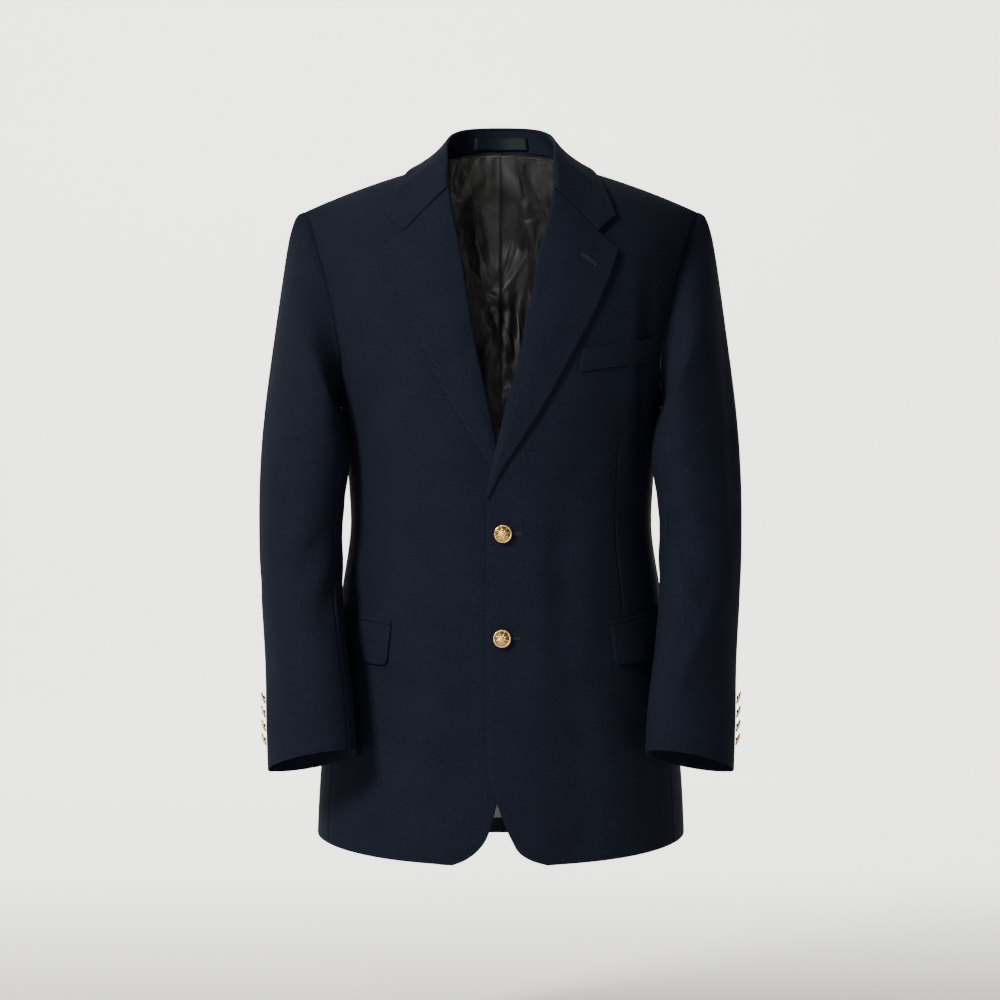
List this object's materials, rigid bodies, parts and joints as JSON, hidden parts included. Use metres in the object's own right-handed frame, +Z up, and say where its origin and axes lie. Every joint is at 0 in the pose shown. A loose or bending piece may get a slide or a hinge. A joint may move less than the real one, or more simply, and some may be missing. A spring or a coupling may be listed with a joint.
{
  "type": "sport coat",
  "caption": "Single-breasted sport coat with notch lapels, flap pockets and metal buttons, in the hollow shape it has when worn.",
  "frame": {"origin": "middle of the neck base, halfway between the points where the shoulder seams meet the neck, where the wearer's neck and shoulders hold the coat up", "axes": "+Z up along the wearer's spine, -Y out of the coat's front, +X to the wearer's left"},
  "size_m": [0.543, 0.3062, 0.8306],
  "materials": {
    "navy_wool": "matt worsted twill",
    "black_satin": "glossy satin lining",
    "loop_ribbon": "ribbed ribbon",
    "gilt_metal": "polished gilt"
  },
  "bodies": {
    "root": {"front_left": "navy_wool", "side_panel_left": "navy_wool", "back_left": "navy_wool", "lapel_left": "navy_wool", "top_sleeve_left": "navy_wool", "under_sleeve_left": "navy_wool", "pocket_flap_left": "navy_wool", "pocket_jetting_left": "navy_wool", "back_lining_left": "black_satin", "cuff_button_left_1": "gilt_metal", "cuff_button_left_2": "gilt_metal", "cuff_button_left_3": "gilt_metal", "cuff_button_left_4": "gilt_metal", "front_right": "navy_wool", "side_panel_right": "navy_wool", "back_right": "navy_wool", "lapel_right": "navy_wool", "top_sleeve_right": "navy_wool", "under_sleeve_right": "navy_wool", "pocket_flap_right": "navy_wool", "pocket_jetting_right": "navy_wool", "back_lining_right": "black_satin", "cuff_button_right_1": "gilt_metal", "cuff_button_right_2": "gilt_metal", "cuff_button_right_3": "gilt_metal", "cuff_button_right_4": "gilt_metal", "top_collar": "navy_wool", "collar_stand": "navy_wool", "breast_welt": "navy_wool", "hanger_loop": "loop_ribbon", "front_button_1": "gilt_metal", "front_button_2": "gilt_metal"}
  },
  "joints": []
}
